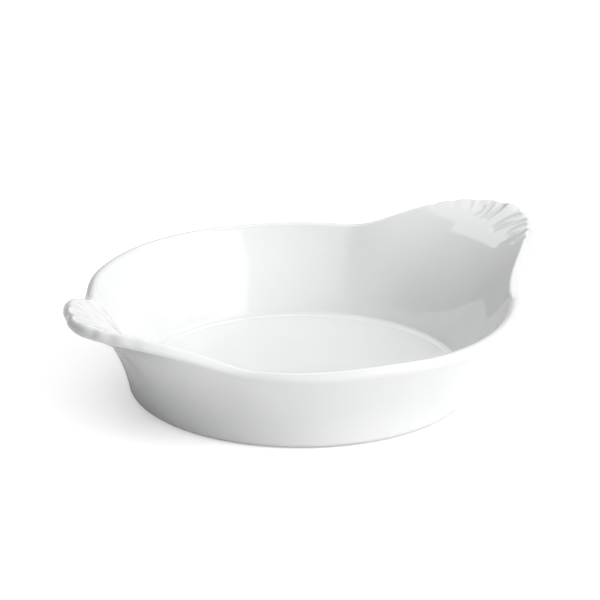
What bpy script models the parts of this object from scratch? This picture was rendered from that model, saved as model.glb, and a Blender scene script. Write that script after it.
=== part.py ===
"""A round porcelain egg dish with two raised, fluted ears, standing on a bare foot ring.

Metres, +Z up. The origin is the centre of the foot ring's underside, and the ears lie along X.
"""

import math

import bmesh
import bpy
from mathutils import Vector

# Driving dimensions
RIM_RADIUS = 0.070
RIM_HEIGHT = 0.031
BASE_RADIUS = 0.055
WALL = 0.0042
FLOOR_HEIGHT = 0.0053
EAR_REACH = 0.0185
EAR_RISE = 0.011
FOOT_HEIGHT = 0.0012
FOOT_WIDTH = 0.0050

# Radii of the small rounded corners
BASE_CORNER = 0.0030
FLOOR_FILLET = 0.0030
FOOT_EDGE = 0.0006

# The wall's lean from the vertical, in degrees: at the base, at the plain rim and at an ear's tip
BASE_LEAN = 12
RIM_LEAN = 36
EAR_LEAN = 66

# Angles round the dish, from an ear's middle, over which the ear reaches out, rises and lies flatter
REACH_ANGLE = 34.5
RISE_ANGLE = 39.5
LEAN_ANGLE = 45
RISE_FULLNESS = 1.3

# How long the wall's curve keeps its lean at each end, as shares of its straight length
BASE_PULL = 0.38
RIM_PULL = 0.28
EAR_PULL = 0.36

# The flutes pressed into each ear
FLUTES_EACH_SIDE = 4
FIRST_FLUTE = 0.0048
FLUTE_PITCH = 0.0064
FLUTE_WIDTH = 0.0017
FLUTE_DEPTH = 0.0008
FLUTE_LENGTH = 0.012

# How finely the solid is faceted
FLUTED_ANGLE = 21
FLUTED_STEPS = 56
SHOULDER_ANGLE = 41
SHOULDER_STEPS = 9
SIDE_STEPS = 18
CORNER_STEPS = 2
WALL_STEPS = 6
LIP_STEPS = 6
FILLET_STEPS = 3
FOOT_CORNER_STEPS = 4
RING_STEPS = 96
SHARP_EDGE = 40
HALVINGS = 30


def from_ear(angle):
    """The angle in degrees from the middle of the nearer ear, negative on its right-hand side."""
    return (angle + 90) % 180 - 90


def falling(share):
    """1 at a share of 0, falling smoothly to 0 at a share of 1 and past it."""
    return 0.5 + 0.5 * math.cos(math.pi * min(share, 1.0))


def swell(angle, half_angle, fullness=1.0):
    """1 in the middle of an ear, falling smoothly to 0 at half_angle either side of it."""
    return falling((abs(from_ear(angle)) / half_angle) ** fullness)


def lean_direction(lean):
    """Unit vector (r, z) up a wall that leans out by this many degrees."""
    return Vector((math.sin(math.radians(lean)), math.cos(math.radians(lean))))


def outward(up):
    """Unit vector square to the wall's direction, away from the inside."""
    return Vector((up.y, -up.x))


def wall_curve(angle):
    """Control points (r, z) of the wall's outer curve, a cubic Bezier from the base to the lip."""
    lean = RIM_LEAN + (EAR_LEAN - RIM_LEAN) * swell(angle, LEAN_ANGLE)
    foot_up = lean_direction(BASE_LEAN)
    lip_up = lean_direction(lean)
    corner_centre = Vector((BASE_RADIUS - BASE_CORNER, BASE_CORNER))
    start = corner_centre + BASE_CORNER * outward(foot_up)
    lip_centre = Vector(
        (
            RIM_RADIUS - WALL / 2 + EAR_REACH * swell(angle, REACH_ANGLE),
            RIM_HEIGHT - WALL / 2 + EAR_RISE * swell(angle, RISE_ANGLE, RISE_FULLNESS),
        )
    )
    end = lip_centre + WALL / 2 * outward(lip_up)
    length = (end - start).length
    rim_pull = RIM_PULL + (EAR_PULL - RIM_PULL) * swell(angle, LEAN_ANGLE)
    return start, start + BASE_PULL * length * foot_up, end - rim_pull * length * lip_up, end


def on_curve(curve, share):
    """The point and the unit direction at a share of the way up a cubic Bezier."""
    a, b, c, d = curve
    rest = 1 - share
    point = rest**3 * a + 3 * rest**2 * share * b + 3 * rest * share**2 * c + share**3 * d
    slope = rest**2 * (b - a) + 2 * rest * share * (c - b) + share**2 * (d - c)
    return point, slope.normalized()


def inner_point(curve, share):
    """The inner face opposite a point of the outer curve, with the inward unit vector there."""
    point, up = on_curve(curve, share)
    inward = -outward(up)
    return point + WALL * inward, inward


def fillet_share(curve):
    """How far up the wall the fillet along the floor's edge touches the inner face, by halving."""
    low, high = 0.0, 0.5
    for _ in range(HALVINGS):
        middle = (low + high) / 2
        touch, inward = inner_point(curve, middle)
        if touch.y + FLOOR_FILLET * inward.y < FLOOR_HEIGHT + FLOOR_FILLET:
            low = middle
        else:
            high = middle
    return (low + high) / 2


def flute_depth(angle, radius, from_lip):
    """How deep the flutes are pressed in, at a distance from the lip's crest along the ear."""
    across = abs(radius * math.sin(math.radians(from_ear(angle))))
    depth = 0.0
    for number in range(FLUTES_EACH_SIDE):
        middle = FIRST_FLUTE + number * FLUTE_PITCH
        depth += math.exp(-(((across - middle) / FLUTE_WIDTH) ** 2))
    return FLUTE_DEPTH * depth * falling(from_lip / FLUTE_LENGTH)


def corner_points():
    """The rounded corner of the base above the foot ring, from the ring up to the wall."""
    centre = Vector((BASE_RADIUS - BASE_CORNER, BASE_CORNER))
    lowest = -math.asin((BASE_CORNER - FOOT_HEIGHT) / BASE_CORNER)
    highest = -math.radians(BASE_LEAN)
    points = []
    for step in range(CORNER_STEPS):
        turn = lowest + (highest - lowest) * step / CORNER_STEPS
        points.append(centre + BASE_CORNER * Vector((math.cos(turn), math.sin(turn))))
    return points


def lip_points(curve, angle):
    """The round lip, from the outer face over the crest to the inner face, with its flutes."""
    end, up = on_curve(curve, 1.0)
    out = outward(up)
    centre = end - WALL / 2 * out
    points = []
    for step in range(1, LIP_STEPS):
        turn = math.pi * step / LIP_STEPS
        direction = math.cos(turn) * out + math.sin(turn) * up
        radius = WALL / 2 - flute_depth(angle, centre.x, 0.0) * math.sin(turn / 2) ** 2
        points.append(centre + radius * direction)
    return points


def inner_points(curve, angle):
    """The inner face from the lip down to the fillet, with the flutes on an ear's upper side."""
    lowest = fillet_share(curve)
    lip = inner_point(curve, 1.0)[0]
    points = []
    for step in range(WALL_STEPS + 1):
        share = 1 + (lowest - 1) * step / WALL_STEPS
        point, inward = inner_point(curve, share)
        pressed = flute_depth(angle, point.x, (point - lip).length)
        points.append(point - pressed * inward)
    return points


def fillet_points(curve):
    """The small fillet from the inner face down to the flat floor."""
    touch, inward = inner_point(curve, fillet_share(curve))
    centre = touch + FLOOR_FILLET * inward
    start = math.atan2(-inward.y, -inward.x)
    points = []
    for step in range(1, FILLET_STEPS + 1):
        turn = start + (-math.pi / 2 - start) * step / FILLET_STEPS
        points.append(centre + FLOOR_FILLET * Vector((math.cos(turn), math.sin(turn))))
    return points


def section(angle):
    """The dish's section at an angle, (r, z) from the underside over the lip to the floor."""
    curve = wall_curve(angle)
    points = corner_points()
    points += [on_curve(curve, step / WALL_STEPS)[0] for step in range(WALL_STEPS + 1)]
    points += lip_points(curve, angle)
    points += inner_points(curve, angle)
    points += fillet_points(curve)
    return points


def section_angles():
    """Angles of the sections in degrees, close together on the ears and wide apart between them."""
    bands = (
        (-FLUTED_ANGLE, FLUTED_ANGLE, FLUTED_STEPS),
        (FLUTED_ANGLE, SHOULDER_ANGLE, SHOULDER_STEPS),
        (SHOULDER_ANGLE, 180 - SHOULDER_ANGLE, SIDE_STEPS),
        (180 - SHOULDER_ANGLE, 180 - FLUTED_ANGLE, SHOULDER_STEPS),
    )
    half = []
    for first, last, steps in bands:
        half += [first + (last - first) * step / steps for step in range(steps)]
    return half + [angle + 180 for angle in half]


def add_ring(mesh, angles, sections, place):
    """One closed ring of vertices, the same place in every section."""
    ring = []
    for angle, points in zip(angles, sections):
        turn = math.radians(angle)
        radius, height = points[place]
        ring.append(mesh.verts.new((radius * math.cos(turn), radius * math.sin(turn), height)))
    return ring


def join_rings(mesh, lower, upper):
    """A band of quads between two rings."""
    for here in range(len(lower)):
        after = (here + 1) % len(lower)
        mesh.faces.new((lower[here], lower[after], upper[after], upper[here]))


def close_ring(mesh, ring, height):
    """A flat disc of triangles from a ring to its centre."""
    centre = mesh.verts.new((0, 0, height))
    for here in range(len(ring)):
        mesh.faces.new((ring[here], ring[(here + 1) % len(ring)], centre))


def loft_dish():
    """The glazed body, lofted through its sections, whose shapes differ because of the ears."""
    angles = section_angles()
    sections = [section(angle) for angle in angles]
    mesh = bmesh.new()
    rings = [add_ring(mesh, angles, sections, place) for place in range(len(sections[0]))]
    for lower, upper in zip(rings, rings[1:]):
        join_rings(mesh, lower, upper)
    close_ring(mesh, rings[0], FOOT_HEIGHT)
    close_ring(mesh, rings[-1], FLOOR_HEIGHT)
    bmesh.ops.recalc_face_normals(mesh, faces=mesh.faces)
    data = bpy.data.meshes.new("dish")
    mesh.to_mesh(data)
    mesh.free()
    return bpy.data.objects.new("dish", data)


def foot_profile():
    """Closed outline (r, z) of the foot ring, down its outer side first."""
    corner = Vector((BASE_RADIUS - BASE_CORNER, BASE_CORNER))
    highest = -math.asin((BASE_CORNER - FOOT_HEIGHT) / BASE_CORNER)
    points = []
    for step in range(FOOT_CORNER_STEPS + 1):
        turn = highest + (-math.pi / 2 - highest) * step / FOOT_CORNER_STEPS
        points.append(corner + BASE_CORNER * Vector((math.cos(turn), math.sin(turn))))
    inner_radius = BASE_RADIUS - BASE_CORNER - FOOT_WIDTH
    points.append(Vector((inner_radius + FOOT_EDGE, 0)))
    points.append(Vector((inner_radius, FOOT_EDGE)))
    points.append(Vector((inner_radius, FOOT_HEIGHT)))
    return points


def turn_foot_ring():
    """The bare ring under the base, turned with a Screw modifier."""
    points = foot_profile()
    mesh = bmesh.new()
    verts = [mesh.verts.new((point.x, 0, point.y)) for point in points]
    for here in range(len(verts)):
        mesh.edges.new((verts[here], verts[(here + 1) % len(verts)]))
    data = bpy.data.meshes.new("foot_ring")
    mesh.to_mesh(data)
    mesh.free()
    ring = bpy.data.objects.new("foot_ring", data)
    screw = ring.modifiers.new("turn", "SCREW")
    screw.steps = RING_STEPS
    screw.render_steps = RING_STEPS
    screw.use_merge_vertices = True
    screw.merge_threshold = 0.00001
    return ring


def material(name, colour, roughness):
    """A plain ceramic surface."""
    surface = bpy.data.materials.new(name)
    surface.use_nodes = True
    shader = surface.node_tree.nodes["Principled BSDF"]
    shader.inputs["Base Color"].default_value = (*colour, 1)
    shader.inputs["Roughness"].default_value = roughness
    shader.inputs["Metallic"].default_value = 0
    return surface


def finish(thing, surface, collection):
    """Shades an object smooth between its sharp edges and places it in the collection."""
    thing.data.materials.append(surface)
    thing.data.shade_smooth()
    thing.data.set_sharp_from_angle(angle=math.radians(SHARP_EDGE))
    collection.objects.link(thing)


def main():
    for thing in list(bpy.data.objects):
        bpy.data.objects.remove(thing)
    collection = bpy.data.collections.new("egg_dish")
    bpy.context.scene.collection.children.link(collection)
    glaze = material("white_glaze", (0.90, 0.90, 0.89), 0.12)
    biscuit = material("bare_porcelain", (0.84, 0.82, 0.78), 0.75)
    finish(loft_dish(), glaze, collection)
    finish(turn_foot_ring(), biscuit, collection)


main()
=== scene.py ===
import math

import bpy
import numpy as np
from mathutils import Matrix, Vector


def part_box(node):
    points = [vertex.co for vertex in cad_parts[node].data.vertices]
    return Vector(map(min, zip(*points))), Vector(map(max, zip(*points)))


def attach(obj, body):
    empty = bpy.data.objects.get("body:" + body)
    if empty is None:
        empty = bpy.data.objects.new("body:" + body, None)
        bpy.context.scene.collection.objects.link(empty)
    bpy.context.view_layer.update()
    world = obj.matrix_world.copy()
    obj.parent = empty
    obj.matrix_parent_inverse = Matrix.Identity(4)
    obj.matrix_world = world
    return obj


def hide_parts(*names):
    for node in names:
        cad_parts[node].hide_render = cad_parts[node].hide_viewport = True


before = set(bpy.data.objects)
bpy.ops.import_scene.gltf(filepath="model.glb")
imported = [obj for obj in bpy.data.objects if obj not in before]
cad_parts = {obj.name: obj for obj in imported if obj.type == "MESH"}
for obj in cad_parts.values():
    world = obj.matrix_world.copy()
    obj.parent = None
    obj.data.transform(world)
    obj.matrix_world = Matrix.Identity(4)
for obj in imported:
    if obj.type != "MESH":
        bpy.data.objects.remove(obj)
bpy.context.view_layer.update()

# The looks of a round porcelain egg dish with two raised, fluted ears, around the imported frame.
# Metres, +Z up. The ears lie along X, and the origin is the middle of the foot ring's underside.

_, DISH_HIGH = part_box("dish")
_, FOOT_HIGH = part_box("foot_ring")

# Sizes that the frame gives
RIM_RADIUS = DISH_HIGH.y
EAR_REACH = DISH_HIGH.x - RIM_RADIUS
FOOT_HEIGHT = FOOT_HIGH.z
FOOT_RADIUS = FOOT_HIGH.x

# Sizes of the bowl and its ears
RIM_HEIGHT = 0.031
EAR_RISE = DISH_HIGH.z - RIM_HEIGHT
WALL = 0.0042
FLOOR_HEIGHT = 0.0053
BASE_CORNER = 0.0030
FLOOR_FILLET = 0.0013
# How much higher the floor is along its edge, and the width over which it rises to that
EDGE_RISE = 0.0004
EDGE_WIDTH = 0.0016
CORNER_RADIUS = FOOT_RADIUS - math.sqrt(BASE_CORNER**2 - (BASE_CORNER - FOOT_HEIGHT) ** 2)

# How much further the ear at +X reaches out and rises than the dish's own measure, and the
# other ear less, as they left the kiln
UNEVEN_REACH = 0.0006
UNEVEN_RISE = 0.0002
# Where the rim moved off its true line in the kiln: the angle round the dish of each place's
# middle and how far it runs either side, in degrees, and how far out and up, in millimetres
MOVED_PLACES = (
    (101, 40, -0.10, 0.70),
    (139, 17, -1.35, 0.0),
    (165, 15, 0.0, 1.10),
    (172, 8.5, -0.65, 0.0),
    (181, 11.5, 0.40, 0.0),
    (253, 23, 0.0, 0.55),
    (295, 42, -0.10, -0.95),
)
# How much of that movement the wall just under the rim takes part in
MOVED_SHARE = 0.8

# The wall's lean from the vertical, in degrees: at the base, at the plain rim and at an ear's tip
BASE_LEAN = 12
RIM_LEAN = 36
EAR_LEAN = 66

# Angles round the dish, from an ear's middle, over which the ear reaches out, rises and lies flatter
REACH_ANGLE = 34.5
RISE_ANGLE = 39.5
LEAN_ANGLE = 45
RISE_FULLNESS = 1.3

# How long the wall's curve keeps its lean at each end, as shares of its straight length
BASE_PULL = 0.38
RIM_PULL = 0.28
EAR_PULL = 0.36

# How square the lip's lower outer corner is: 2 is round
RIM_SQUARENESS = 2.2
EAR_SQUARENESS = 3.4

# Each flute of an ear: points from the lip to its inner end, out along the ear and across it,
# its half width, its depth and how far it runs on past its first point, all in millimetres
FLUTES = (
    ((83.0, 14.6), (80.4, 12.2), (78.8, 11.4), 0.8, 0.36, 4),
    ((82.0, 7.4), (79.9, 7.0), (78.0, 7.6), 0.9, 0.32, 0),
    ((85.6, 7.0), (81.9, 5.2), (78.2, 4.6), 1.1, 0.42, 4),
    ((88.0, 2.8), (83.4, 2.2), (79.2, 2.8), 1.6, 0.46, 4),
    ((87.4, -9.2), (82.0, -5.0), (77.2, -2.8), 1.2, 0.46, 4),
    ((85.2, -13.8), (81.0, -8.8), (76.6, -4.4), 1.4, 0.42, 4),
    ((83.2, -16.4), (79.6, -12.7), (76.8, -10.6), 1.0, 0.42, 4),
    ((80.4, -19.6), (77.2, -15.2), (74.8, -13.2), 1.3, 0.38, 4),
    ((77.4, -22.2), (75.0, -20.2), (73.0, -18.4), 1.0, 0.34, 4),
)
# Soft hollows in an ear's lip and the lobe in its middle, which is raised, in the same way
SCALLOPS = (
    ((75.0, 24.0), (72.8, 22.6), (70.8, 21.2), 1.4, 0.45, 4),
    ((79.6, 19.0), (77.4, 17.2), (75.4, 15.4), 1.4, 0.45, 4),
    ((84.0, 12.6), (81.4, 10.8), (78.8, 9.6), 2.4, 0.80, 4),
    ((88.0, 5.4), (84.6, 4.4), (81.2, 4.0), 2.0, 0.45, 4),
    ((88.4, -0.4), (84.4, -0.4), (80.4, -0.2), 2.6, -0.40, 4),
    ((88.0, -4.4), (86.2, -4.0), (84.4, -3.6), 1.7, 0.50, 4),
    ((86.2, -11.4), (83.0, -8.4), (79.8, -6.4), 2.2, 0.65, 4),
    ((82.6, -18.2), (79.6, -15.2), (77.0, -13.2), 2.2, 0.60, 4),
    ((77.6, -23.8), (75.4, -22.0), (73.2, -20.6), 2.0, 0.30, 4),
)
# How far the pattern of the ear at -X is moved across it
PATTERN_SHIFT = -2.0
# How deep the scallops of the two ears are, as shares of the depths above, at -X and at +X
SCALLOP_SHARES = (0.55, 0.75)
FLUTE_POINTS = 16
# The shares between which the flutes and the scallops grow to their full depth: up to 1 of the
# way round the lip from its outside, and from 1 to 2 down the inner face
FLUTE_START = (0.70, 1.06)
SCALLOP_START = (0.0, 0.35)
# The shares of their length between which they run out
FLUTE_END = (0.55, 1.7)
SCALLOP_END = (0.20, 1.0)
# How much narrower a flute is at its inner end than at the lip, as a share of its width
FLUTE_TAPER = 0.3
MM = 0.001
TINY = 1e-9

# How finely the surface is divided
FLUTED_ANGLE = 27
FLUTED_STEPS = 216
SHOULDER_ANGLE = 45
SHOULDER_STEPS = 30
SIDE_STEPS = 72
UNDER_STEPS = 5
CORNER_STEPS = 6
WALL_STEPS = 22
LIP_STEPS = 28
INNER_STEPS = 52
FILLET_STEPS = 7
EDGE_STEPS = 14
FLOOR_STEPS = 5
# How evenly the rows of the inner face are spread: 1 is evenly, less is closer at the lip
INNER_EVENNESS = 0.55
# The share that is reached at the foot of the inner face and stays so over the floor
INNER_FOOT = 2.0
# The fillet's upper end is sought below this share of the wall, by halving
FILLET_LIMIT = 0.5
HALVINGS = 30

# The camera, which sees the dish from well away with a long lens
PICTURE_SIDE = 600
FOCAL_PIXELS = 6294
SENSOR = 36
CAMERA_DISTANCE = 2.0
CAMERA_ELEVATION = 20.61
CAMERA_ROLL = 0.11
EARS_TURN = 38.5
TARGET_SIDE = -0.0003
TARGET_HEIGHT = 0.0294
CAMERA_CLIPS = (0.1, 50)

# The glaze: its two tones, its darker tone in the flutes, which is partly pooled glaze and partly
# painted shade of the grooves, and the flute depth in millimetres at which that darkening is full
GLAZE_TONES = ((0.895, 0.90, 0.90), (0.875, 0.885, 0.885))
POOL_AND_SHADE_TONE = (0.765, 0.78, 0.775)
FULL_POOL_AND_SHADE = 0.3
# Its least and greatest roughness, and what forks and scouring add to that on the cooking floor
GLAZE_SHEEN = (0.02, 0.05)
USED_DULLING = 0.05
# The wear fades out over these heights below and above the cooking floor, in metres, and between
# these upward parts of the surface's direction
WEAR_BELOW = (0.0004, 0.0002)
WEAR_ABOVE = (0.0002, 0.0008)
WEAR_FACING = (0.8, 1.0)
# The bare porcelain: its two tones and its roughness, the same where it is rubbed, and how much
# of the rubbed tone shows there
BARE_TONES = ((0.86, 0.84, 0.80), (0.80, 0.78, 0.74))
BARE_ROUGHNESS = 0.8
RUBBED_TONE = (0.66, 0.65, 0.62)
RUBBED_ROUGHNESS = 0.6
RUBBED_SHARE = 0.45
# The index of refraction of both surfaces
REFRACTION = 1.5
# Patches of each kind: lumps in a metre, detail, and the noise values between which they come in
CLOUDS = (45, 3, 0.35, 0.65)
SHEEN_CLOUDS = (120, 4, 0.3, 0.7)
STROKES = (260, 5, 0.45, 0.7)
RUBBED_PLACES = (140, 4, 0.52, 0.66)
# Reliefs of each kind: lumps in a metre and detail, then strength and height in metres
WAVE_LUMPS = (90, 1)
WAVE_RELIEF = (0.5, 0.00008)
PEEL_LUMPS = (900, 2)
PEEL_RELIEF = (0.3, 0.00001)
GRAIN_LUMPS = (3000, 3)
GRAIN_RELIEF = (0.6, 0.00004)

# The floor's side, its own colour, what it glows with round the dish where it is seen, and how far
# from the dish that grows to full white, past the lamps' light
FLOOR_SIDE = 40
FLOOR_TONE = (0.9, 0.9, 0.9, 1)
FLOOR_GLOW = 0.47
FLOOR_FADE = (0.4, 2.0)
# The side of the studio that the gloss shows darker, the cosine of the angle from it within which
# it is darkest, and by how much. From there it fades out towards a quarter turn from that side
DIM_SIDE = (-0.9, 0.44, 0.05)
DIM_REACHED = 0.9
DIMMING = 0.95
# Each soft lamp's place, what it faces, its width and height, its turn, its glow, and whether it
# lights the dish and whether the gloss shows it. Places and sides of the studio are in the
# picture's directions: to the right, away from the camera and up
LAMPS = {
    "key": ((1.0, -0.75, 0.95), (0, -0.75, 0.95), (0.9, 1.7), 0, 4.7, True, False),
    "front": ((-0.1, -1.2, 0.6), (-0.1, 0, 0.6), (1.8, 1.2), 0, 0.32, True, False),
    "top": ((0.1, -0.15, 1.01), (0.1, -0.15, 0), (1.6, 1.9), 0, 0.87, True, False),
    "back_top": ((-0.416, 1.25, 1.0), (-0.416, 1.25, 0), (1.1, 1.6), 22.4, 1.45, True, False),
    "window": ((0.99, -0.35, 0.95), (0, -0.35, 0.95), (1.7, 1.7), 0, 1.75, False, True),
    "ceiling": ((-0.284, 1.113, 0.98), (-0.284, 1.113, 0), (1.08, 1.25), 23.6, 1.95, False, True),
    "ceiling_near": ((-0.038, 0.43, 0.98), (-0.038, 0.43, 0), (0.78, 0.196), 23.6, 1.95, False, True),
    "ceiling_far": ((-0.424, 1.898, 0.98), (-0.424, 1.898, 0), (0.75, 0.3), 23.6, 1.95, False, True),
}


def from_ear(angle):
    """The angle in degrees from the middle of the nearer ear."""
    return (angle + 90) % 180 - 90


def falling(share):
    """1 at a share of 0, falling smoothly to 0 at a share of 1 and past it."""
    return 0.5 + 0.5 * np.cos(np.pi * np.clip(share, 0, 1))


def swell(angle, half_angle, fullness=1.0):
    """1 in the middle of an ear, falling smoothly to 0 at half_angle either side of it."""
    return falling((np.abs(from_ear(angle)) / half_angle) ** fullness)


def pair(radius, height):
    """Points or directions (r, z) from two arrays that may differ in shape."""
    return np.stack(np.broadcast_arrays(radius, height), -1)


def lean_direction(lean):
    """Unit vectors (r, z) up a wall that leans out by this many degrees."""
    return pair(np.sin(np.radians(lean)), np.cos(np.radians(lean)))


def outward(up):
    """Unit vectors square to the wall's direction, away from the inside."""
    return pair(up[..., 1], -up[..., 0])


def unit(vectors):
    """The vectors at length 1."""
    return vectors / np.linalg.norm(vectors, axis=-1, keepdims=True)


def moved(angles):
    """How far out and up (r, z) the rim moved in the kiln at each angle."""
    shift = np.zeros((len(angles), 2))
    for middle, half_angle, out, up in MOVED_PLACES:
        apart = np.abs((angles - middle + 180) % 360 - 180)
        shift += falling(apart / half_angle)[:, None] * np.array((out, up)) * MM
    return shift


def wall_curve(angles):
    """Control points (r, z) of the wall's outer curve at each angle, a cubic Bezier."""
    lean = RIM_LEAN + (EAR_LEAN - RIM_LEAN) * swell(angles, LEAN_ANGLE)
    foot_up = lean_direction(np.full_like(angles, BASE_LEAN))
    lip_up = lean_direction(lean)
    start = np.array((CORNER_RADIUS, BASE_CORNER)) + BASE_CORNER * outward(foot_up)
    side = np.sign(np.cos(np.radians(angles)))
    reach = (EAR_REACH + side * UNEVEN_REACH) * swell(angles, REACH_ANGLE)
    rise = (EAR_RISE + side * UNEVEN_RISE) * swell(angles, RISE_ANGLE, RISE_FULLNESS)
    lip_centre = pair(RIM_RADIUS - WALL / 2 + reach, RIM_HEIGHT - WALL / 2 + rise)
    end = lip_centre + WALL / 2 * outward(lip_up)
    length = np.linalg.norm(end - start, axis=-1)[:, None]
    pull = RIM_PULL + (EAR_PULL - RIM_PULL) * swell(angles, LEAN_ANGLE)[:, None]
    shift = moved(angles)
    above = start + BASE_PULL * length * foot_up
    below = end - pull * length * lip_up + MOVED_SHARE * shift
    return start, above, below, end + shift


def on_curve(curve, share):
    """The points and unit directions at a share of the way up each Bezier."""
    a, b, c, d = curve
    share = np.asarray(share)[..., None]
    rest = 1 - share
    point = rest**3 * a + 3 * rest**2 * share * b + 3 * rest * share**2 * c + share**3 * d
    slope = rest**2 * (b - a) + 2 * rest * share * (c - b) + share**2 * (d - c)
    return point, unit(slope)


def inner_point(curve, share):
    """The inner face opposite points of the outer curve, with the inward unit vectors there."""
    point, up = on_curve(curve, share)
    inward = -outward(up)
    return point + WALL * inward, inward


def fillet_share(curve):
    """How far up each wall the fillet along the floor's edge touches the inner face."""
    centre_height = FLOOR_HEIGHT + EDGE_RISE + FLOOR_FILLET
    low = np.zeros(len(curve[0]))
    high = np.full(len(curve[0]), FILLET_LIMIT)
    for _ in range(HALVINGS):
        middle = (low + high) / 2
        touch, inward = inner_point(curve, middle)
        below = touch[:, 1] + FLOOR_FILLET * inward[:, 1] < centre_height
        low = np.where(below, middle, low)
        high = np.where(below, high, middle)
    return (low + high) / 2


def arc(centre, radius, turn):
    """Points (r, z) on circles about the centres."""
    return centre + radius * pair(np.cos(turn), np.sin(turn))


def section_angles():
    """Angles of the sections in degrees, close together on the ears and wide apart between them."""
    bands = (
        (-FLUTED_ANGLE, FLUTED_ANGLE, FLUTED_STEPS),
        (FLUTED_ANGLE, SHOULDER_ANGLE, SHOULDER_STEPS),
        (SHOULDER_ANGLE, 180 - SHOULDER_ANGLE, SIDE_STEPS),
        (180 - SHOULDER_ANGLE, 180 - FLUTED_ANGLE, SHOULDER_STEPS),
    )
    half = np.concatenate([np.linspace(*band, endpoint=False) for band in bands])
    return np.concatenate([half, half + 180])


def dish_sections(angles):
    """Rows of points (r, z) over all angles, from the underside over the lip to the floor.

    Also gives each row's share of the way round the lip: 0 on the outside, 1 where the inner
    face starts, and on to 2 at the foot of that face.
    """
    curve = wall_curve(angles)
    zeros = np.zeros_like(angles)
    rows = []
    lip_shares = []

    def add(points, lip_share=0.0):
        rows.append(points)
        lip_shares.append(lip_share)

    corner = np.array((CORNER_RADIUS, BASE_CORNER))
    lowest = -math.asin((BASE_CORNER - FOOT_HEIGHT) / BASE_CORNER)
    for step in range(1, UNDER_STEPS + 1):
        add(pair(zeros + FOOT_RADIUS * step / (UNDER_STEPS + 1), zeros + FOOT_HEIGHT))
    for step in range(CORNER_STEPS):
        turn = lowest + (-math.radians(BASE_LEAN) - lowest) * step / CORNER_STEPS
        add(arc(corner, BASE_CORNER, zeros + turn))
    for step in range(WALL_STEPS + 1):
        add(on_curve(curve, zeros + step / WALL_STEPS)[0])

    end, up = on_curve(curve, zeros + 1)
    out = outward(up)
    centre = end - WALL / 2 * out
    ear = swell(angles, LEAN_ANGLE)
    squareness = RIM_SQUARENESS + (EAR_SQUARENESS - RIM_SQUARENESS) * ear
    for step in range(1, LIP_STEPS):
        turn = math.pi * step / LIP_STEPS
        power = 2 / squareness if turn < math.pi / 2 else np.ones_like(ear)
        across = math.copysign(1, math.cos(turn)) * abs(math.cos(turn)) ** power
        along = math.sin(turn) ** power
        offset = across[:, None] * out + along[:, None] * up
        add(centre + WALL / 2 * offset, step / LIP_STEPS)

    lowest = fillet_share(curve)
    for step in range(INNER_STEPS + 1):
        way = step / INNER_STEPS
        down = INNER_EVENNESS * way + (1 - INNER_EVENNESS) * way**2
        add(inner_point(curve, 1 + (lowest - 1) * down)[0], 1 + (INNER_FOOT - 1) * way)

    touch, inward = inner_point(curve, lowest)
    middle = touch + FLOOR_FILLET * inward
    start = np.arctan2(-inward[:, 1], -inward[:, 0])
    for step in range(1, FILLET_STEPS + 1):
        turn = start + (-math.pi / 2 - start) * step / FILLET_STEPS
        add(arc(middle, FLOOR_FILLET, turn), INNER_FOOT)
    for step in range(1, EDGE_STEPS + 1):
        way = step / EDGE_STEPS
        height = FLOOR_HEIGHT + EDGE_RISE * falling(way)
        add(pair(middle[:, 0] - EDGE_WIDTH * way, height), INNER_FOOT)
    flat = middle[:, 0] - EDGE_WIDTH
    for step in range(1, FLOOR_STEPS + 1):
        add(pair(flat * (1 - step / (FLOOR_STEPS + 1)), zeros + FLOOR_HEIGHT), INNER_FOOT)
    return np.array(rows), np.array(lip_shares)


def flute_path(lip, middle, inner, lead):
    """Points along a flute, a quadratic curve through three, led on straight over the lip."""
    lip, middle, inner = (np.array(point) for point in (lip, middle, inner))
    control = 2 * middle - (lip + inner) / 2
    share = np.linspace(0, 1, FLUTE_POINTS)[:, None]
    path = (1 - share) ** 2 * lip + 2 * share * (1 - share) * control + share**2 * inner
    start = lip + lead * unit(lip - control)
    return np.concatenate([start[None], path])


def along_path(places, lip, middle, inner, lead):
    """How far each place lies from a flute's path, and at what share of its length."""
    path = flute_path(lip, middle, inner, lead)
    shares = np.concatenate([[0.0], np.linspace(0, 1, FLUTE_POINTS)])
    nearest = np.full(len(places), np.inf)
    share = np.zeros(len(places))
    for first, last, low, high in zip(path, path[1:], shares, shares[1:]):
        step = last - first
        way = np.clip((places - first) @ step / max(step @ step, TINY), 0, 1)
        off = np.linalg.norm(places - first - way[:, None] * step, axis=1)
        closer = off < nearest
        nearest = np.where(closer, off, nearest)
        share = np.where(closer, low + (high - low) * way, share)
    return nearest, share


def ramp(value, limits):
    """0 below the lower limit, rising smoothly to 1 at the upper one."""
    low, high = limits
    return falling((high - value) / (high - low))


def flute_depth(places):
    """How deep the flutes are at each place (out along the ear, across it), in millimetres.

    Each is a round trough with a crisp edge, so that a ridge is left between two of them.
    """
    depth = np.zeros(len(places))
    for lip, middle, inner, half_width, full_depth, lead in FLUTES:
        nearest, share = along_path(places, lip, middle, inner, lead)
        width = half_width * (1 + FLUTE_TAPER * (0.5 - share))
        trough = np.clip(1 - (nearest / width) ** 2, 0, 1)
        depth = np.maximum(depth, full_depth * (1 - ramp(share, FLUTE_END)) * trough)
    return depth


def scallop_depth(places):
    """How deep the soft scallops of the lip are at each place, in millimetres."""
    depth = np.zeros(len(places))
    for lip, middle, inner, half_width, full_depth, lead in SCALLOPS:
        nearest, share = along_path(places, lip, middle, inner, lead)
        hollow = np.exp(-((nearest / half_width) ** 2))
        depth += full_depth * (1 - ramp(share, SCALLOP_END)) * hollow
    return depth


def grid_points(rows, angles):
    """Points in space from rows of (r, z) at the sections' angles."""
    turn = np.radians(angles)
    return np.stack(
        [rows[..., 0] * np.cos(turn), rows[..., 0] * np.sin(turn), rows[..., 1]], -1
    )


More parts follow.
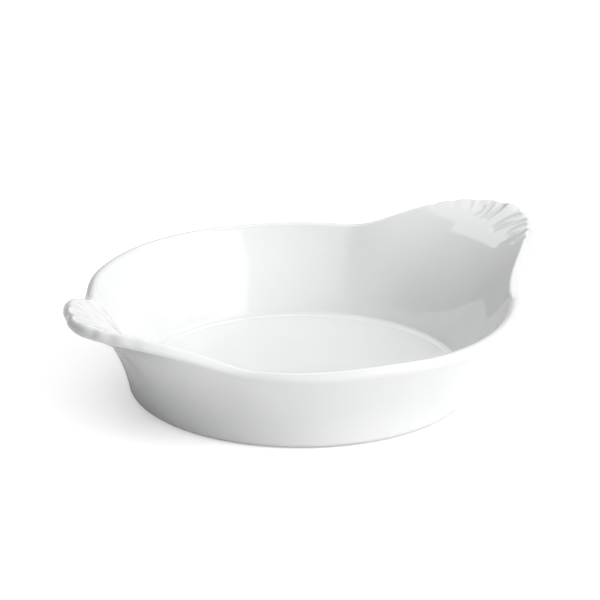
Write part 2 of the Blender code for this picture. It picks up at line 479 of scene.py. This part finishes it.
def grid_normals(points):
    """Unit normals of a grid that closes on itself along its rows."""
    along = np.roll(points, -1, axis=1) - np.roll(points, 1, axis=1)
    up = np.gradient(points, axis=0)
    return unit(np.cross(along, up))


def flute(points, lip_shares):
    """The grid with the flutes pressed into the ears, and how deep they are at each point, which sets
    the glaze's painted shade in them.
    """
    near = np.flatnonzero(np.abs(points[..., 0]).ravel() > RIM_RADIUS - EAR_REACH / 2)
    flat = points.reshape(-1, 3)
    normals = grid_normals(points).reshape(-1, 3)
    over = np.repeat(lip_shares, points.shape[1])[near]
    across = flat[near, 1] / MM - np.where(flat[near, 0] < 0, PATTERN_SHIFT, 0)
    places = np.stack([np.abs(flat[near, 0]) / MM, across], -1)
    fluted = flute_depth(places) * ramp(over, FLUTE_START)
    scalloped = scallop_depth(places) * ramp(over, SCALLOP_START)
    scalloped *= np.where(flat[near, 0] < 0, *SCALLOP_SHARES)
    pressed = np.zeros(len(flat))
    pressed[near] = (fluted + scalloped) * MM
    pooled_shade = np.zeros(len(flat))
    pooled_shade[near] = fluted
    carved = flat - pressed[:, None] * normals
    return carved.reshape(points.shape), pooled_shade


def closed_mesh(name, points, under, over):
    """A closed mesh from a grid of rings and the two points that close its ends."""
    rings, around = points.shape[:2]
    index = np.arange(rings * around).reshape(rings, around)
    after = np.roll(index, -1, axis=1)
    quads = np.stack([index[:-1], after[:-1], after[1:], index[1:]], -1).reshape(-1, 4)
    first, last = rings * around, rings * around + 1
    fans = [(b, a, first) for a, b in zip(index[0], after[0])]
    fans += [(a, b, last) for a, b in zip(index[-1], after[-1])]
    data = bpy.data.meshes.new(name)
    corners = np.concatenate([points.reshape(-1, 3), [under, over]])
    faces = quads.tolist() + [[int(corner) for corner in fan] for fan in fans]
    data.from_pydata(corners.tolist(), [], faces)
    data.shade_smooth()
    return data


def add_object(name, data):
    """An object of this mesh, linked to the scene."""
    thing = bpy.data.objects.new(name, data)
    bpy.context.scene.collection.objects.link(thing)
    return thing


def make_dish():
    """The glazed body with its flutes."""
    angles = section_angles()
    rows, lip_shares = dish_sections(angles)
    points, pooled_shade_depth = flute(grid_points(rows, angles), lip_shares)
    data = closed_mesh("glazed_dish", points, (0, 0, FOOT_HEIGHT), (0, 0, FLOOR_HEIGHT))
    # The flutes' depth at each point, by which the glaze paints shade into the grooves, partly as
    # pooled glaze
    pooled_shade = data.attributes.new("pooled_shade", "FLOAT", "POINT")
    pooled_shade.data.foreach_set("value", np.append(pooled_shade_depth, (0, 0)).astype(np.float32))
    return add_object("glazed_dish", data)


class Nodes:
    """A short way to build the nodes of a material or of the world."""

    def __init__(self, owner):
        self.owner = owner
        owner.use_nodes = True
        self.tree = owner.node_tree
        self.tree.nodes.clear()

    def add(self, kind, settings=None, **inputs):
        """A node with settings on the node itself and inputs by name, each a value or a socket."""
        node = self.tree.nodes.new(kind)
        for name, value in (settings or {}).items():
            setattr(node, name, value)
        for name, value in inputs.items():
            self.feed(node.inputs[name.replace("_", " ")], value)
        return node

    def feed(self, socket, value):
        """Links a socket to another, or sets its value."""
        if isinstance(value, bpy.types.NodeSocket):
            self.tree.links.new(value, socket)
        else:
            socket.default_value = value

    def math(self, operation, first, second=0.0):
        """The result of a Math node."""
        node = self.add("ShaderNodeMath", {"operation": operation})
        self.feed(node.inputs[0], first)
        self.feed(node.inputs[1], second)
        return node.outputs[0]

    def blend(self, share, first, second):
        """A colour between two colours."""
        node = self.add("ShaderNodeMix", {"data_type": "RGBA"})
        self.feed(node.inputs[0], share)
        self.feed(node.inputs[6], (*first, 1) if isinstance(first, tuple) else first)
        self.feed(node.inputs[7], (*second, 1) if isinstance(second, tuple) else second)
        return node.outputs[2]

    def noise(self, place, lumps, detail):
        """A noise value from 0 to 1, with about this many lumps in a metre."""
        node = self.add("ShaderNodeTexNoise", Vector=place, Scale=lumps, Detail=detail)
        return node.outputs["Fac"]

    def spread(self, value, low, high, new_low, new_high):
        """A value moved from one range to another, and kept inside it."""
        node = self.add("ShaderNodeMapRange")
        for place, number in enumerate((value, low, high, new_low, new_high)):
            self.feed(node.inputs[place], number)
        return node.outputs[0]

    def patches(self, place, kind, new_low=0.0, new_high=1.0):
        """A value from one number to another that changes in patches of this kind."""
        lumps, detail, low, high = kind
        return self.spread(self.noise(place, lumps, detail), low, high, new_low, new_high)

    def relief(self, height, kind, **inputs):
        """The surface's direction after a relief of this kind and height."""
        strength, distance = kind
        node = self.add(
            "ShaderNodeBump", Strength=strength, Distance=distance, Height=height, **inputs
        )
        return node.outputs[0]

    def upward(self, direction):
        """The Z part of a place or direction."""
        return self.add("ShaderNodeSeparateXYZ", Vector=direction).outputs["Z"]


def used_floor(nodes, place):
    """How dulled the glaze is at each place of the cooking floor by forks and scouring: 0 to 1."""
    height = nodes.upward(place)
    outer, inner = (FLOOR_HEIGHT - below for below in WEAR_BELOW)
    from_below = nodes.spread(height, outer, inner, 0.0, 1.0)
    inner, outer = (FLOOR_HEIGHT + above for above in WEAR_ABOVE)
    from_above = nodes.spread(height, inner, outer, 1.0, 0.0)
    facing = nodes.add("ShaderNodeNewGeometry").outputs["Normal"]
    level = nodes.spread(nodes.upward(facing), *WEAR_FACING, 0.0, 1.0)
    strokes = nodes.patches(place, STROKES)
    on_floor = nodes.math("MULTIPLY", from_below, from_above)
    return nodes.math("MULTIPLY", on_floor, nodes.math("MULTIPLY", level, strokes))


def glaze():
    """Clear gloss glaze over white porcelain, with painted shade in the flutes, partly pooled glaze.
    """
    nodes = Nodes(bpy.data.materials.new("white_glaze"))
    place = nodes.add("ShaderNodeTexCoord").outputs["Object"]
    tone = nodes.blend(nodes.patches(place, CLOUDS), *GLAZE_TONES)
    # Darker in the flutes: partly pooled glaze, partly painted shade of the grooves
    pooled_shade = nodes.add("ShaderNodeAttribute", {"attribute_name": "pooled_shade"}).outputs["Fac"]
    colour = nodes.blend(nodes.spread(pooled_shade, 0.0, FULL_POOL_AND_SHADE, 0.0, 1.0), tone, POOL_AND_SHADE_TONE)
    sheen = nodes.patches(place, SHEEN_CLOUDS, *GLAZE_SHEEN)
    dulling = nodes.math("MULTIPLY", used_floor(nodes, place), USED_DULLING)
    waves = nodes.relief(nodes.noise(place, *WAVE_LUMPS), WAVE_RELIEF)
    peel = nodes.relief(nodes.noise(place, *PEEL_LUMPS), PEEL_RELIEF, Normal=waves)
    shader = nodes.add(
        "ShaderNodeBsdfPrincipled",
        Base_Color=colour,
        Roughness=nodes.math("ADD", sheen, dulling),
        IOR=REFRACTION,
        Normal=peel,
    )
    nodes.add("ShaderNodeOutputMaterial", Surface=shader.outputs[0])
    return nodes.owner


def biscuit():
    """Bare, matt porcelain, ground smooth."""
    nodes = Nodes(bpy.data.materials.new("bare_porcelain"))
    place = nodes.add("ShaderNodeTexCoord").outputs["Object"]
    grain = nodes.noise(place, *GRAIN_LUMPS)
    rubbed = nodes.patches(place, RUBBED_PLACES, 0.0, RUBBED_SHARE)
    tone = nodes.blend(grain, *BARE_TONES)
    shader = nodes.add(
        "ShaderNodeBsdfPrincipled",
        Base_Color=nodes.blend(rubbed, tone, RUBBED_TONE),
        Roughness=nodes.spread(rubbed, 0.0, RUBBED_SHARE, BARE_ROUGHNESS, RUBBED_ROUGHNESS),
        IOR=REFRACTION,
        Normal=nodes.relief(grain, GRAIN_RELIEF),
    )
    nodes.add("ShaderNodeOutputMaterial", Surface=shader.outputs[0])
    return nodes.owner


def to_studio():
    """The turn from the picture's directions to the dish's own."""
    return Matrix.Rotation(math.radians(-EARS_TURN), 3, "Z")


def aim(thing, place, target):
    """Puts a lamp or the camera at a place, looking at the target.

    Both are given in the picture's directions: to the right, away from the camera and up.
    """
    turn = to_studio()
    look = (Vector(target) - Vector(place)).to_track_quat("-Z", "Y").to_matrix()
    thing.location = turn @ Vector(place)
    thing.rotation_euler = (turn @ look).to_euler()


def make_camera():
    """The camera, at the photograph's angle."""
    data = bpy.data.cameras.new("camera")
    data.sensor_width = SENSOR
    data.lens = FOCAL_PIXELS / PICTURE_SIDE * SENSOR
    data.clip_start, data.clip_end = CAMERA_CLIPS
    camera = bpy.data.objects.new("camera", data)
    bpy.context.scene.collection.objects.link(camera)
    lift = math.radians(CAMERA_ELEVATION)
    target = Vector((TARGET_SIDE, 0, TARGET_HEIGHT))
    back = CAMERA_DISTANCE * Vector((0, -math.cos(lift), math.sin(lift)))
    aim(camera, target + back, target)
    roll = Matrix.Rotation(math.radians(CAMERA_ROLL), 3, "Z")
    camera.rotation_euler = (camera.rotation_euler.to_matrix() @ roll).to_euler()
    bpy.context.scene.camera = camera


def make_lamp(name, place, target, size, turn, glow, in_light, in_gloss):
    """A flat soft light of this size, turned about its own axis, whose face is this bright."""
    data = bpy.data.lights.new(name, "AREA")
    data.shape = "RECTANGLE"
    data.size, data.size_y = size
    data.energy = glow * math.pi * size[0] * size[1]
    lamp = bpy.data.objects.new(name, data)
    lamp.visible_camera = False
    lamp.visible_diffuse = in_light
    lamp.visible_glossy = in_gloss
    bpy.context.scene.collection.objects.link(lamp)
    aim(lamp, place, target)
    own_turn = Matrix.Rotation(math.radians(turn), 3, "Z")
    lamp.rotation_euler = (lamp.rotation_euler.to_matrix() @ own_turn).to_euler()


def seen(nodes):
    """1 for the rays by which the background is seen, directly or in a reflection."""
    path = nodes.add("ShaderNodeLightPath").outputs
    glossy = nodes.math("MAXIMUM", path["Is Camera Ray"], path["Is Glossy Ray"])
    return nodes.math("MAXIMUM", glossy, path["Is Transmission Ray"])


def dimmed_in_gloss(nodes, direction):
    """1 where the surround is seen directly, and less towards its dim side in the gloss."""
    alike = nodes.add("ShaderNodeVectorMath", {"operation": "DOT_PRODUCT"})
    nodes.feed(alike.inputs[0], direction)
    nodes.feed(alike.inputs[1], to_studio() @ Vector(DIM_SIDE).normalized())
    gloss = nodes.add(
        "ShaderNodeMapRange",
        {"interpolation_type": "SMOOTHSTEP"},
        Value=alike.outputs["Value"],
        From_Max=DIM_REACHED,
        To_Min=1.0,
        To_Max=1.0 - DIMMING,
    )
    camera = nodes.add("ShaderNodeLightPath").outputs["Is Camera Ray"]
    return nodes.spread(camera, 0.0, 1.0, gloss.outputs[0], 1.0)


def make_floor():
    """A plain pale floor that is seen as white and keeps the dish's shadow."""
    half = FLOOR_SIDE / 2
    data = bpy.data.meshes.new("floor")
    corners = [(-half, -half, 0), (half, -half, 0), (half, half, 0), (-half, half, 0)]
    data.from_pydata(corners, [], [(0, 1, 2, 3)])
    floor = add_object("floor", data)
    nodes = Nodes(bpy.data.materials.new("floor"))
    matt = nodes.add("ShaderNodeBsdfDiffuse", Color=FLOOR_TONE)
    place = nodes.add("ShaderNodeTexCoord").outputs["Object"]
    away = nodes.add("ShaderNodeVectorMath", {"operation": "LENGTH"})
    nodes.feed(away.inputs[0], place)
    white = nodes.spread(away.outputs["Value"], *FLOOR_FADE, FLOOR_GLOW, 1.0)
    direction = nodes.add("ShaderNodeVectorMath", {"operation": "NORMALIZE"})
    nodes.feed(direction.inputs[0], place)
    shade = dimmed_in_gloss(nodes, direction.outputs["Vector"])
    strength = nodes.math("MULTIPLY", nodes.math("MULTIPLY", seen(nodes), white), shade)
    glow = nodes.add("ShaderNodeEmission", Strength=strength)
    both = nodes.add("ShaderNodeAddShader")
    nodes.feed(both.inputs[0], matt.outputs[0])
    nodes.feed(both.inputs[1], glow.outputs[0])
    nodes.add("ShaderNodeOutputMaterial", Surface=both.outputs[0])
    data.materials.append(nodes.owner)


def make_world():
    """A surround that is seen as white, and darker towards one side in the gloss."""
    world = bpy.data.worlds.new("studio")
    nodes = Nodes(world)
    direction = nodes.add("ShaderNodeTexCoord").outputs["Generated"]
    strength = nodes.math("MULTIPLY", seen(nodes), dimmed_in_gloss(nodes, direction))
    surround = nodes.add("ShaderNodeBackground", Color=(1, 1, 1, 1), Strength=strength)
    nodes.add("ShaderNodeOutputWorld", Surface=surround.outputs[0])
    bpy.context.scene.world = world


def make_lights():
    """The large soft lamps, which light the dish or are seen in its gloss."""
    for name, lamp in LAMPS.items():
        make_lamp(name, *lamp)


def main():
    bpy.context.scene.view_settings.view_transform = "Standard"
    make_camera()
    make_world()
    make_lights()
    make_floor()
    dish = make_dish()
    dish.data.materials.append(glaze())
    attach(dish, "root")
    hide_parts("dish")
    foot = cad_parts["foot_ring"]
    foot.data.materials.clear()
    foot.data.materials.append(biscuit())


main()
